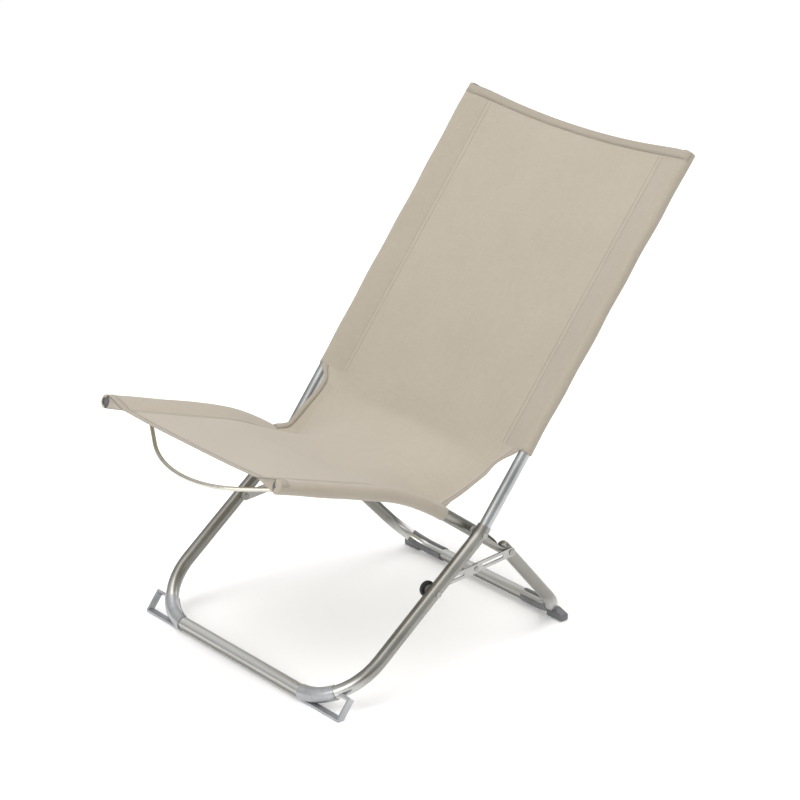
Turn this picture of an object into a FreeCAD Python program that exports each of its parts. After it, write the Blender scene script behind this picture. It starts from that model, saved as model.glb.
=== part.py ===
import FreeCAD, Part
import math
import os

os.makedirs("parts", exist_ok=True)

V = FreeCAD.Vector

# ---------------------------------------------------------------- driving dimensions (mm, degrees)
# The chair faces -Y, +X is the sitter's left and the floor is z = 0.
# The front floor bar lies on y = 0 before everything is centred on the floor.

LEG_WIDTH = 500.0            # front legs, centre to centre
LEG_DIAMETER = 22.0
LEG_WALL = 1.5
LEG_ANGLE = 38.4             # front legs, above the floor
LEG_LENGTH = 353.0           # floor bar to main pivot
LEG_CORNER_RADIUS = 100.0
LEG_SOCKET = 14.0            # leg tube carried on past the bend

BACK_DIAMETER = 18.8
BACK_WALL = 1.4
BACK_ANGLE = 52.2
BACK_LENGTH = 672.0          # main pivot to top end
BACK_SPLAY = 5.0             # each top end stands this far outside the leg
BACK_INSERT = 45.0           # back tube pushed down inside the leg
PIVOT_BEND_RADIUS = 60.0

SEAT_WIDTH = 444.0           # seat tubes, centre to centre
SEAT_DIAMETER = 20.0
SEAT_WALL = 1.4
SEAT_ANGLE = 24.3            # seat rises towards the front
SEAT_LENGTH = 399.0          # front end to main pivot, in a straight line
SEAT_TAIL_ANGLE = 36.6       # slope of the tube where it passes the pivot
SEAT_TAIL = 97.0             # main pivot to stay pivot
SEAT_CORNER_RUN = 140.6      # main pivot to the corner of the slow bend under the seat
SEAT_BEND_RADIUS = 440.0
WELD_GAP = 0.02              # between two tubes that are welded together

REAR_DIAMETER = 20.0
REAR_WALL = 1.4
REAR_BAR_WIDTH = 393.0
REAR_RUN = 500.0             # front floor bar to rear floor bar
REAR_CORNER_RADIUS = 70.0
REAR_HEAD = 9.0              # leg carried on above the stay pivot, then domed
REAR_TOP_INSET = 1.4         # the legs lean outwards, so their tops start this far inside the seat tubes

FLOOR_BAR_HEIGHT = 12.6      # centre of both floor bars, held up by the feet
FOOT_WALL = 1.4
FOOT_GAP = 0.1
FOOT_SLOT = 10.0             # the shoe is open along the inside of the bend, this wide
FOOT_BLADE = 4.0             # thickness of the arms that meet at the corner
FOOT_BLADE_WIDTH = 11.0
FRONT_FOOT_TURNS = (4.0, 42.0)   # degrees round the bend, from the floor bar, where the shoe starts and ends
REAR_FOOT_LEAD = 30.0        # rear shoe reaches this far along the straight floor bar
REAR_FOOT_TURN = 40.0        # and this many degrees round the bend
BLOCK_INNER = 32.0           # rear block, inwards of the corner
BLOCK_OUTER = 5.0            # and outwards
BLOCK_SHOULDER = 14.0        # its top slopes down from here
BLOCK_WIDTH = 16.0
BLOCK_ROUNDING = 2.5
BLOCK_HEIGHTS = (17.0, 11.0)

STAY_ON_LEG = 0.33           # stay pivot, as a share of the leg below the main pivot
STAY_SPLIT = 0.5625          # middle rivet, as a share of the open stay
STAY_WIDTH = 15.0
STAY_THICKNESS = 2.4
STAY_SLOT_WIDTH = 5.0
LOWER_SLOT = (0.45, 0.72)     # shares of the link where its slot starts and ends
UPPER_SLOT = (0.22, 0.74)
STAY_GAP = 0.3

PIN_RADIUS = 3.0
FIT_GAP = 0.05               # running fit on the pins, radial
BODY_GAP = 0.3               # air between parts that slide past each other
SAME_PLACE = 0.01            # edges nearer than this to a face lie on it
HEAD_GAP = 0.1               # under heads and beside spacers
HEAD_RADIUS = 5.2
HEAD_HEIGHT = 1.6
HEAD_ROUNDING = 0.7          # share of a head's height that is rounded
WASHER_RADIUS = 7.5
KNOB_RADIUS = 13.0
KNOB_LENGTH = 8.0
KNOB_ROUNDING = 5.0
KNOB_SOCKET = 4.0            # the pin reaches this far into the knob

BOW_DIAMETER = 7.0
BOW_SETBACK = 79.0           # bow feet, behind the end of the tubes
BOW_DEPTH = 94.0
BOW_TILT = 34.0              # bow leans away from the fabric
BOW_HALF_FLAT = 64.0         # corners of the bow, each side of the middle
BOW_BEND_RADIUS = 230.0

CAP_SHOULDER = 4.0           # flush with the tube, rounded at the end
CAP_ROUNDING = 2.6
CAP_PLUG = 16.0

FABRIC = 2.2
SLEEVE_GAP = 0.3
BACK_SLEEVE_START = 142.0    # back fabric begins this far up from the main pivot
SEAT_SLEEVE_END = 65.0       # seat sleeves stop this far short of the main pivot
SLEEVE_OVERRUN = 3.0         # sleeves cover the tube's end and most of its cap
HEM_SETBACK = 8.0            # the hems between them sit this far in from the tube ends
CROTCH_ON_BACK = 120.0       # seat and back run into each other from here
CROTCH_ON_SEAT = 190.0       # to here, both measured from the main pivot
CROTCH_WEIGHT = 0.5          # fullness of that curve
CROTCH_HALF_WIDTH = 207.0    # between the seat tubes
PANEL_SPLIT_GAP = 2.5
SEAT_STEPS = 24
CROTCH_STEPS = 20


# ---------------------------------------------------------------- small geometry helpers
def direction(angle):
    """Unit vector in the side plane, measured from +Y towards +Z."""
    return V(0, math.cos(math.radians(angle)), math.sin(math.radians(angle)))


def at_x(point, x):
    return V(x, point.y, point.z)


def unit(vector):
    copy = V(vector)
    return copy.normalize()


def rounded_wire(points, radii):
    """Straight runs through the points, joined by tangent arcs of the given radii."""
    edges = []
    last = points[0]
    for corner, after, radius in zip(points[1:-1], points[2:], radii):
        before_dir = unit(last - corner)
        after_dir = unit(after - corner)
        half = before_dir.getAngle(after_dir) / 2
        reach = radius / math.tan(half)
        start = corner + before_dir * reach
        end = corner + after_dir * reach
        bisector = unit(before_dir + after_dir)
        middle = corner + bisector * (radius / math.sin(half) - radius)
        edges.append(Part.LineSegment(last, start).toShape())
        edges.append(Part.Arc(start, middle, end).toShape())
        last = end
    edges.append(Part.LineSegment(last, points[-1]).toShape())
    return Part.Wire(edges)


def largest_solid(shape):
    return max(shape.Solids, key=lambda piece: piece.Volume)


def swept(wire, radius):
    first = wire.OrderedEdges[0]
    start = first.valueAt(first.FirstParameter)
    heading = first.tangentAt(first.FirstParameter)
    profile = Part.Wire(Part.makeCircle(radius, start, heading))
    return wire.makePipeShell([profile], True, False)


def tube(points, radii, diameter, wall):
    wire = rounded_wire(points, radii)
    return swept(wire, diameter / 2).cut(swept(wire, diameter / 2 - wall))


def rod_x(x_from, x_to, centre, radius):
    """Cylinder along X between two x values, on a point of the side plane."""
    low = min(x_from, x_to)
    return Part.makeCylinder(radius, abs(x_to - x_from), at_x(centre, low), V(1, 0, 0))


def ring_x(x_from, x_to, centre, outer, inner):
    return rod_x(x_from, x_to, centre, outer).cut(rod_x(x_from - 1, x_to + 1, centre, inner))


def domed_head(x_from, x_to, centre, radius):
    """Rivet head: a disc whose face at x_to is rounded."""
    head = rod_x(x_from, x_to, centre, radius)
    rim = [edge for edge in head.Edges if edge.Closed and abs(edge.CenterOfMass.x - x_to) < SAME_PLACE]
    return head.makeFillet(abs(x_to - x_from) * HEAD_ROUNDING, rim)


# ---------------------------------------------------------------- layout of the side view
FRONT_BAR = V(0, 0, FLOOR_BAR_HEIGHT)
REAR_BAR = V(0, REAR_RUN, FLOOR_BAR_HEIGHT)
LEG_DIR = direction(LEG_ANGLE)
BACK_DIR = direction(BACK_ANGLE)
SEAT_DIR = direction(180 - SEAT_ANGLE)
TAIL_DIR = direction(-SEAT_TAIL_ANGLE)
PIVOT = FRONT_BAR + LEG_DIR * LEG_LENGTH
BACK_TOP = PIVOT + BACK_DIR * BACK_LENGTH
SEAT_FRONT = PIVOT + SEAT_DIR * SEAT_LENGTH
STAY_TOP = PIVOT + TAIL_DIR * SEAT_TAIL
STAY_FOOT = PIVOT - LEG_DIR * (STAY_ON_LEG * LEG_LENGTH)
STAY_KNEE = STAY_FOOT + (STAY_TOP - STAY_FOOT) * STAY_SPLIT
SEAT_CORNER = PIVOT - TAIL_DIR * SEAT_CORNER_RUN
SEAT_TIP_DIR = (SEAT_FRONT - SEAT_CORNER).normalize()
SEAT_TIP_NORMAL = V(0, SEAT_TIP_DIR.z, -SEAT_TIP_DIR.y)

BACK_NORMAL = direction(BACK_ANGLE + 90)

LEG_X = LEG_WIDTH / 2
SEAT_X = SEAT_WIDTH / 2
LEG_INNER = LEG_X - LEG_DIAMETER / 2
LEG_OUTER = LEG_X + LEG_DIAMETER / 2
SEAT_OUTER = SEAT_X + SEAT_DIAMETER / 2
SEAT_INNER = SEAT_X - SEAT_DIAMETER / 2

# The two stay links lie side by side between the leg and the seat tube.
UPPER_LINK_X = SEAT_OUTER + BODY_GAP
LOWER_LINK_X = UPPER_LINK_X + STAY_THICKNESS + STAY_GAP
LOWER_LINK_FACE = LOWER_LINK_X + STAY_THICKNESS

FRONT_LEG_RADII = [PIVOT_BEND_RADIUS, LEG_CORNER_RADIUS, LEG_CORNER_RADIUS, PIVOT_BEND_RADIUS]
REAR_LEG_RADII = [REAR_CORNER_RADIUS] * 2

NODES = {}


# ---------------------------------------------------------------- back and front legs
def front_leg_points():
    right_top = PIVOT + BACK_DIR * LEG_SOCKET
    side = [at_x(right_top, LEG_X), at_x(PIVOT, LEG_X), at_x(FRONT_BAR, LEG_X)]
    other = [V(-point.x, point.y, point.z) for point in reversed(side)]
    return side + other


def front_leg_frame():
    frame = tube(front_leg_points(), FRONT_LEG_RADII, LEG_DIAMETER, LEG_WALL)
    for centre in (PIVOT, STAY_FOOT):
        frame = frame.cut(rod_x(-LEG_OUTER - 1, LEG_OUTER + 1, centre, PIN_RADIUS + FIT_GAP))
    return frame


def back_tube_points(side):
    return [
        at_x(PIVOT - LEG_DIR * BACK_INSERT, side * LEG_X),
        at_x(PIVOT, side * LEG_X),
        at_x(BACK_TOP, side * (LEG_X + BACK_SPLAY)),
    ]


def back_tube(side):
    shape = tube(back_tube_points(side), [PIVOT_BEND_RADIUS], BACK_DIAMETER, BACK_WALL)
    return shape.cut(rod_x(-LEG_OUTER - 1, LEG_OUTER + 1, PIVOT, PIN_RADIUS + FIT_GAP))


def end_cap(tip, heading, tube_diameter, wall):
    """Push-in cap: a rounded shoulder flush with the tube and a plug inside it."""
    shoulder = Part.makeCylinder(tube_diameter / 2, CAP_SHOULDER, tip, heading)
    rim = [edge for edge in shoulder.Edges
           if edge.Closed and (edge.CenterOfMass - tip).dot(heading) > CAP_SHOULDER / 2]
    shoulder = shoulder.makeFillet(CAP_ROUNDING, rim)
    plug_radius = tube_diameter / 2 - wall - FIT_GAP
    plug = Part.makeCylinder(plug_radius, CAP_PLUG, tip, heading * -1)
    return shoulder.fuse(plug)


# ---------------------------------------------------------------- seat and rear legs
def rear_leg_points():
    top = at_x(STAY_TOP, SEAT_X - REAR_TOP_INSET)
    corner = at_x(REAR_BAR, REAR_BAR_WIDTH / 2)
    head = top + unit(top - corner) * REAR_HEAD
    side = [head, corner]
    other = [V(-point.x, point.y, point.z) for point in reversed(side)]
    return side + other


def rear_leg_frame():
    points = rear_leg_points()
    frame = tube(points, REAR_LEG_RADII, REAR_DIAMETER, REAR_WALL)
    for end, after in ((points[0], points[1]), (points[-1], points[-2])):
        outward = unit(end - after)
        ball = Part.makeSphere(REAR_DIAMETER / 2, end)
        below = Part.makeCylinder(REAR_DIAMETER, REAR_DIAMETER, end, outward * -1)
        frame = frame.fuse(ball.cut(below))
    hole = rod_x(-SEAT_OUTER - 1, SEAT_OUTER + 1, STAY_TOP, PIN_RADIUS + FIT_GAP)
    return frame.cut(hole).removeSplitter()


def seat_tube_points(side):
    return [at_x(point, side * SEAT_X) for point in (SEAT_FRONT, SEAT_CORNER, STAY_TOP)]


def seat_tube(side):
    """Seat tube, saddle-cut where it is welded against the rear leg."""
    shape = tube(seat_tube_points(side), [SEAT_BEND_RADIUS], SEAT_DIAMETER, SEAT_WALL)
    for centre in (PIVOT, STAY_TOP):
        shape = shape.cut(rod_x(-LEG_OUTER, LEG_OUTER, centre, PIN_RADIUS + FIT_GAP))
    points = rear_leg_points()
    head, corner = (points[0], points[1]) if side > 0 else (points[-1], points[-2])
    heading = unit(corner - head)
    reach = 3 * REAR_DIAMETER
    saddle = Part.makeCylinder(REAR_DIAMETER / 2 + WELD_GAP, 2 * reach, head - heading * reach, heading)
    return largest_solid(shape.cut(saddle))


# ---------------------------------------------------------------- spreader bows
def bow_frame(tip, outward, normal):
    """Foot line and lean of a bow; outward points off the tube end, normal off the fabric's back."""
    foot = tip - outward * BOW_SETBACK
    lean = math.radians(BOW_TILT)
    return foot, outward * math.cos(lean) + normal * math.sin(lean)


def bow(foot, lean, half_width, radius):
    """Rod bowed between two tubes: a straight middle, two large bends and two splayed arms."""
    start = at_x(foot, half_width)
    knee = at_x(foot, BOW_HALF_FLAT) + lean * BOW_DEPTH
    points = [start, knee, V(-knee.x, knee.y, knee.z), V(-start.x, start.y, start.z)]
    wire = rounded_wire(points, [BOW_BEND_RADIUS] * 2)
    return swept(wire, radius)


# ---------------------------------------------------------------- feet
def corner_foot(bar, leg_dir, bar_half, bend_radius, frame_core, side, rear):
    """Corner shoe: a channel round the outside of the bend, with what stands on the floor beyond it.

    frame_core is the filled tube of the whole frame, a little oversize, which the shoe is cleared of.
    """
    corner = V(side * bar_half, bar.y, bar.z)
    inward = V(-side, 0, 0)
    half = inward.getAngle(leg_dir) / 2
    reach = bend_radius / math.tan(half)
    bend_start = corner + inward * reach
    centre = corner + unit(inward + leg_dir) * (bend_radius / math.sin(half))
    from_centre = bend_start - centre
    axis = inward.cross(leg_dir) * -1
    tube_radius = (REAR_DIAMETER if rear else LEG_DIAMETER) / 2
    turn_from, turn_to = (0, REAR_FOOT_TURN) if rear else FRONT_FOOT_TURNS

    def on_bend(angle, share=1.0):
        return centre + FreeCAD.Rotation(axis, angle).multVec(from_centre) * share

    def along_bend(share):
        """The shoe's line at a share of the bend's radius."""
        middle = (turn_from + turn_to) / 2
        arc = Part.Arc(on_bend(turn_from, share), on_bend(middle, share), on_bend(turn_to, share))
        if not rear:
            return Part.Wire([arc.toShape()])
        start = on_bend(turn_from, share)
        lead = Part.LineSegment(start + inward * REAR_FOOT_LEAD, start)
        return Part.Wire([lead.toShape(), arc.toShape()])

    sleeve = swept(along_bend(1.0), tube_radius + FOOT_WALL)
    slot = swept(along_bend(1.0 - tube_radius / bend_radius), FOOT_SLOT / 2)
    channel = sleeve.cut(slot)
    if rear:
        stand = [rear_block(corner, side)]
    else:
        stand = foot_arms(corner, inward, leg_dir, on_bend(turn_from), on_bend(turn_to))
    below = Part.makeBox(4 * bar_half, 4 * bar_half, 4 * tube_radius)
    below.translate(V(-2 * bar_half, bar.y - 2 * bar_half, -4 * tube_radius))
    foot = channel.multiFuse(stand).cut(frame_core).cut(below)
    return largest_solid(foot.removeSplitter())


def rear_block(corner, side):
    """Solid block on the floor, beyond the bend."""
    profile = [
        (-BLOCK_INNER, 0), (BLOCK_OUTER, 0), (BLOCK_OUTER, BLOCK_HEIGHTS[1]),
        (-BLOCK_SHOULDER, BLOCK_HEIGHTS[0]), (-BLOCK_INNER, BLOCK_HEIGHTS[0]),
    ]
    points = [V(corner.x + side * out, corner.y - BLOCK_WIDTH / 2, height) for out, height in profile]
    outline = Part.makePolygon(points + points[:1])
    block = Part.Face(outline).extrude(V(0, BLOCK_WIDTH, 0))
    return block.makeFillet(BLOCK_ROUNDING, block.Edges)


def foot_arms(corner, inward, leg_dir, sleeve_start, sleeve_end):
    """Open loop: one arm flat on the floor, one up beside the leg and a bridge back to the sleeve."""
    tip = corner - inward * FOOT_BLADE
    length = abs(tip.x - sleeve_start.x)
    floor_arm = Part.makeBox(length, FOOT_BLADE_WIDTH, FOOT_BLADE)
    floor_arm.translate(V(min(tip.x, sleeve_start.x), corner.y - FOOT_BLADE_WIDTH / 2, 0))
    rise = at_x(sleeve_end, tip.x + inward.x * FOOT_BLADE / 2)
    side_start = V(rise.x, corner.y, FOOT_BLADE / 2)
    side_dir = unit(rise - side_start)
    side_arm = Part.makeBox(FOOT_BLADE, FOOT_BLADE_WIDTH, (rise - side_start).Length + FOOT_BLADE)
    side_arm.translate(V(-FOOT_BLADE / 2, -FOOT_BLADE_WIDTH / 2, -FOOT_BLADE / 2))
    tilt = FreeCAD.Rotation(V(0, 0, 1), side_dir)
    side_arm.Placement = FreeCAD.Placement(side_start, tilt).multiply(side_arm.Placement)
    gap = abs(rise.x - sleeve_end.x)
    bridge = Part.makeBox(gap + FOOT_BLADE, FOOT_BLADE_WIDTH, FOOT_BLADE)
    bridge.translate(V(-(gap + FOOT_BLADE) / 2, -FOOT_BLADE_WIDTH / 2, -FOOT_BLADE / 2))
    lift = FreeCAD.Rotation(V(0, 1, 0), V(0, leg_dir.z, -leg_dir.y))
    bridge_centre = at_x(sleeve_end, (rise.x + sleeve_end.x) / 2)
    bridge.Placement = FreeCAD.Placement(bridge_centre, lift).multiply(bridge.Placement)
    return [floor_arm, side_arm, bridge]


# ---------------------------------------------------------------- folding stays
def link(start, end, x_low, hole_radius, slot_from, slot_to):
    """Flat bar with round ends, a hole at each end and a long pierced slot."""
    along = unit(end - start)
    length = (end - start).Length
    across = along.cross(V(1, 0, 0))
    half = STAY_WIDTH / 2

    def stadium(first, last, radius):
        a = at_x(first, x_low)
        b = at_x(last, x_low)
        edges = [
            Part.LineSegment(a + across * radius, b + across * radius).toShape(),
            Part.Arc(b + across * radius, b + along * radius, b - across * radius).toShape(),
            Part.LineSegment(b - across * radius, a - across * radius).toShape(),
            Part.Arc(a - across * radius, a - along * radius, a + across * radius).toShape(),
        ]
        return Part.Face(Part.Wire(edges)).extrude(V(STAY_THICKNESS, 0, 0))

    plate = stadium(start, end, half)
    slot_start = start + along * (slot_from * length)
    slot_end = start + along * (slot_to * length)
    plate = plate.cut(stadium(slot_start, slot_end, STAY_SLOT_WIDTH / 2))
    for centre in (start, end):
        plate = plate.cut(rod_x(x_low - 1, x_low + STAY_THICKNESS + 1, centre, hole_radius))
    return plate


def mirrored(shape):
    return shape.mirror(V(0, 0, 0), V(1, 0, 0))


def both(shape):
    """The piece on the right and its mirror image, as one group of solids."""
    return Part.makeCompound([shape, mirrored(shape)])


def main_pivot_pin():
    inner_face = SEAT_INNER - BODY_GAP
    shank = rod_x(inner_face, LEG_OUTER, PIVOT, PIN_RADIUS)
    outer = domed_head(LEG_OUTER, LEG_OUTER + HEAD_HEIGHT, PIVOT, HEAD_RADIUS)
    inner = domed_head(inner_face, inner_face - HEAD_HEIGHT, PIVOT, HEAD_RADIUS)
    return shank.multiFuse([outer, inner]).removeSplitter()


def stay_foot_pin(knobbed):
    """Pin of the lower stay, ending in the knob or in a head of its own."""
    face = LOWER_LINK_X - BODY_GAP
    inner_end = face - KNOB_SOCKET if knobbed else face
    shank = rod_x(inner_end, LEG_OUTER, STAY_FOOT, PIN_RADIUS)
    heads = [domed_head(LEG_OUTER, LEG_OUTER + HEAD_HEIGHT, STAY_FOOT, HEAD_RADIUS)]
    if not knobbed:
        heads.append(domed_head(face, face - HEAD_HEIGHT, STAY_FOOT, HEAD_RADIUS))
    return shank.multiFuse(heads).removeSplitter()


def stay_knob():
    """Round black knob pressed on the inner end of the left stay's pin."""
    face = LOWER_LINK_X - BODY_GAP
    knob = rod_x(face - KNOB_LENGTH, face, STAY_FOOT, KNOB_RADIUS)
    rim = [edge for edge in knob.Edges if edge.Closed and edge.CenterOfMass.x < face - KNOB_LENGTH / 2]
    knob = knob.makeFillet(KNOB_ROUNDING, rim)
    return knob.cut(rod_x(face - KNOB_SOCKET, face + BODY_GAP, STAY_FOOT, PIN_RADIUS))


def stay_top_pin():
    face = UPPER_LINK_X + STAY_THICKNESS + HEAD_GAP
    inner_face = SEAT_INNER - REAR_TOP_INSET - 3 * BODY_GAP
    shank = rod_x(inner_face, face, STAY_TOP, PIN_RADIUS)
    outer = domed_head(face, face + HEAD_HEIGHT, STAY_TOP, HEAD_RADIUS)
    inner = domed_head(inner_face, inner_face - HEAD_HEIGHT, STAY_TOP, HEAD_RADIUS)
    return shank.multiFuse([outer, inner]).removeSplitter()


def knee_rivet():
    """Middle rivet of the stay, carried by the lower link."""
    shank = rod_x(LOWER_LINK_X, LOWER_LINK_FACE, STAY_KNEE, PIN_RADIUS)
    head = domed_head(LOWER_LINK_FACE, LEG_INNER - BODY_GAP, STAY_KNEE, HEAD_RADIUS - 1)
    return shank.fuse(head).removeSplitter()


# ---------------------------------------------------------------- sling
def panel(start, end, normal, half_width):
    """Flat cloth between two points of the side plane, centred on the tube axes."""
    half = normal * (FABRIC / 2)
    corners = [start - half, end - half, end + half, start + half, start - half]
    outline = Part.makePolygon([at_x(corner, -half_width) for corner in corners])
    return Part.Face(outline).extrude(V(2 * half_width, 0, 0))


def with_sleeves(cloth, lines, longer_lines, tube_diameter):
    """Adds a sleeve round each line and clears the tube inside it, a little past both ends."""
    bore = tube_diameter / 2 + SLEEVE_GAP
    cloth = cloth.multiFuse([swept(line, bore + FABRIC) for line in lines])
    for line in longer_lines:
        cloth = cloth.cut(swept(line, bore))
    return cloth.removeSplitter()


def back_fabric():
    top = PIVOT + BACK_DIR * (BACK_LENGTH - HEM_SETBACK)
    cloth = panel(PIVOT + BACK_DIR * BACK_SLEEVE_START, top, BACK_NORMAL, LEG_X)
    lines = {0: [], FABRIC: []}
    for more, group in lines.items():
        for side in (-1, 1):
            points = back_tube_points(side)
            run = unit(points[2] - points[1])
            low = points[1] + run * (BACK_SLEEVE_START - more)
            high = points[2] + run * (SLEEVE_OVERRUN + more)
            group.append(Part.makePolygon([low, high]))
    return with_sleeves(cloth, lines[0], lines[FABRIC], BACK_DIAMETER)


def seat_line(first, last):
    """Points and upward normals along the seat tube, between two distances from the main pivot."""
    turn = (TAIL_DIR * -1).getAngle(SEAT_TIP_DIR)
    tangent = SEAT_BEND_RADIUS * math.tan(turn / 2)
    bend_from = SEAT_CORNER_RUN - tangent
    bend_to = bend_from + SEAT_BEND_RADIUS * turn
    centre = PIVOT - TAIL_DIR * bend_from - direction(90 - SEAT_TAIL_ANGLE) * SEAT_BEND_RADIUS
    line = []
    for step in range(SEAT_STEPS + 1):
        run = first + (last - first) * step / SEAT_STEPS
        if run < bend_from:
            normal = direction(90 - SEAT_TAIL_ANGLE)
            point = PIVOT - TAIL_DIR * run
        elif run < bend_to:
            turned = math.degrees((run - bend_from) / SEAT_BEND_RADIUS)
            normal = direction(90 - SEAT_TAIL_ANGLE + turned)
            point = centre + normal * SEAT_BEND_RADIUS
        else:
            normal = SEAT_TIP_NORMAL
            point = centre + normal * SEAT_BEND_RADIUS + SEAT_TIP_DIR * (run - bend_to)
        line.append((point, normal))
    return line


def seat_run():
    """Length of the seat tube's line from the main pivot to its front end."""
    turn = (TAIL_DIR * -1).getAngle(SEAT_TIP_DIR)
    tangent = SEAT_BEND_RADIUS * math.tan(turn / 2)
    straight = SEAT_CORNER_RUN - tangent + (SEAT_FRONT - SEAT_CORNER).Length - tangent
    return straight + SEAT_BEND_RADIUS * turn


def crotch_line():
    """Points and normals of the curve from the lower end of the back to the seat."""
    lower = seat_line(0, CROTCH_ON_SEAT)[-1]
    tangent = V(0, -lower[1].z, lower[1].y)
    start = PIVOT + BACK_DIR * CROTCH_ON_BACK
    across = (PIVOT - lower[0]).cross(BACK_DIR).x / tangent.cross(BACK_DIR).x
    control = lower[0] + tangent * across
    line = [(PIVOT + BACK_DIR * (BACK_SLEEVE_START - PANEL_SPLIT_GAP), BACK_NORMAL)]
    for step in range(CROTCH_STEPS + 1):
        t = step / CROTCH_STEPS
        shares = ((1 - t) ** 2, 2 * CROTCH_WEIGHT * t * (1 - t), t ** 2)
        total = sum(shares)
        point = (start * shares[0] + control * shares[1] + lower[0] * shares[2]) * (1 / total)
        line.append((point, None))
    for step in range(1, CROTCH_STEPS + 1):
        along = unit(line[step + 1][0] - line[step - 1][0])
        line[step] = (line[step][0], V(0, along.z, -along.y))
    line[-1] = lower
    return line


def curved_panel(line, half_width):
    """Cloth that follows a line of points and normals, to both sides of the middle."""
    splines = []
    for offset in (-FABRIC / 2, FABRIC / 2):
        curve = Part.BSplineCurve()
        curve.interpolate([at_x(point + normal * offset, -half_width) for point, normal in line])
        splines.append(curve.toShape())
    ends = []
    for point, normal in (line[0], line[-1]):
        low = at_x(point - normal * (FABRIC / 2), -half_width)
        high = at_x(point + normal * (FABRIC / 2), -half_width)
        ends.append(Part.LineSegment(low, high).toShape())
    outline = Part.Wire([splines[0], ends[1], splines[1], ends[0]])
    return Part.Face(outline).extrude(V(2 * half_width, 0, 0))


def seat_fabric():
    seat = curved_panel(seat_line(CROTCH_ON_SEAT, seat_run() - HEM_SETBACK), SEAT_X)
    crotch = curved_panel(crotch_line(), CROTCH_HALF_WIDTH)
    lines = {0: [], FABRIC: []}
    for more, group in lines.items():
        rear = PIVOT - TAIL_DIR * (SEAT_SLEEVE_END - more)
        front = SEAT_FRONT + SEAT_TIP_DIR * (SLEEVE_OVERRUN + more)
        for side in (-1, 1):
            points = [at_x(point, side * SEAT_X) for point in (rear, SEAT_CORNER, front)]
            group.append(rounded_wire(points, [SEAT_BEND_RADIUS]))
    return with_sleeves(seat.fuse(crotch), lines[0], lines[FABRIC], SEAT_DIAMETER)


# ---------------------------------------------------------------- the assembly
NODES["front_leg_frame"] = front_leg_frame()
NODES["rear_leg_frame"] = rear_leg_frame()
front_core = swept(rounded_wire(front_leg_points(), FRONT_LEG_RADII), LEG_DIAMETER / 2 + FOOT_GAP)
rear_core = swept(rounded_wire(rear_leg_points(), REAR_LEG_RADII), REAR_DIAMETER / 2 + FOOT_GAP)
for side, name in ((-1, "right"), (1, "left")):
    back_points = back_tube_points(side)
    back_heading = unit(back_points[2] - back_points[1])
    NODES["back_tube_" + name] = back_tube(side)
    NODES["back_tube_cap_" + name] = end_cap(back_points[2], back_heading, BACK_DIAMETER, BACK_WALL)
    NODES["seat_tube_" + name] = seat_tube(side)
    NODES["seat_tube_cap_" + name] = end_cap(at_x(SEAT_FRONT, side * SEAT_X), SEAT_TIP_DIR,
                                             SEAT_DIAMETER, SEAT_WALL)
    NODES["front_foot_" + name] = corner_foot(FRONT_BAR, LEG_DIR, LEG_X, LEG_CORNER_RADIUS,
                                              front_core, side, False)
    rear_points = rear_leg_points()
    rear_dir = unit(rear_points[0] - rear_points[1])
    rear_dir = V(side * rear_dir.x, rear_dir.y, rear_dir.z)
    NODES["rear_foot_" + name] = corner_foot(REAR_BAR, rear_dir, REAR_BAR_WIDTH / 2, REAR_CORNER_RADIUS,
                                             rear_core, side, True)

lower_link = link(STAY_FOOT, STAY_KNEE, LOWER_LINK_X, PIN_RADIUS + FIT_GAP, *LOWER_SLOT)
upper_link = link(STAY_KNEE, STAY_TOP, UPPER_LINK_X, PIN_RADIUS + FIT_GAP, *UPPER_SLOT)
NODES["stay_lower_left"] = lower_link
NODES["stay_lower_right"] = mirrored(lower_link)
NODES["stay_upper_left"] = upper_link
NODES["stay_upper_right"] = mirrored(upper_link)
rivet = knee_rivet()
NODES["stay_knee_rivet_left"] = rivet
NODES["stay_knee_rivet_right"] = mirrored(rivet)
NODES["stay_foot_pin_left"] = stay_foot_pin(True)
NODES["stay_foot_pin_right"] = mirrored(stay_foot_pin(False))
NODES["stay_foot_knob"] = stay_knob()
NODES["stay_foot_spacers"] = both(ring_x(LOWER_LINK_FACE + HEAD_GAP, LEG_INNER, STAY_FOOT,
                                         WASHER_RADIUS, PIN_RADIUS + FIT_GAP))
NODES["stay_top_pins"] = both(stay_top_pin())
NODES["main_pivot_pins"] = both(main_pivot_pin())
NODES["main_pivot_washers"] = both(ring_x(SEAT_OUTER + BODY_GAP, LEG_INNER, PIVOT,
                                          WASHER_RADIUS, PIN_RADIUS + FIT_GAP))

seat_foot, seat_lean = bow_frame(SEAT_FRONT, SEAT_TIP_DIR, SEAT_TIP_NORMAL * -1)
back_foot, back_lean = bow_frame(BACK_TOP, BACK_DIR, BACK_NORMAL * -1)
back_half = LEG_X + BACK_SPLAY * (1 - BOW_SETBACK / BACK_LENGTH)
front_bow = bow(seat_foot, seat_lean, SEAT_X, BOW_DIAMETER / 2)
back_bow = bow(back_foot, back_lean, back_half, BOW_DIAMETER / 2)
for side, name in ((-1, "right"), (1, "left")):
    front_bow = front_bow.cut(swept(rounded_wire(seat_tube_points(side), [SEAT_BEND_RADIUS]),
                                    SEAT_DIAMETER / 2 + WELD_GAP))
    back_bow = back_bow.cut(swept(rounded_wire(back_tube_points(side), [PIVOT_BEND_RADIUS]),
                                  BACK_DIAMETER / 2 + WELD_GAP))
NODES["front_spreader_bow"] = largest_solid(front_bow)
NODES["back_spreader_bow"] = largest_solid(back_bow)
eyelet = BOW_DIAMETER / 2 + SLEEVE_GAP
NODES["back_fabric"] = back_fabric().cut(bow(back_foot, back_lean, back_half, eyelet))
NODES["seat_fabric"] = seat_fabric().cut(bow(seat_foot, seat_lean, SEAT_X, eyelet))

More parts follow.
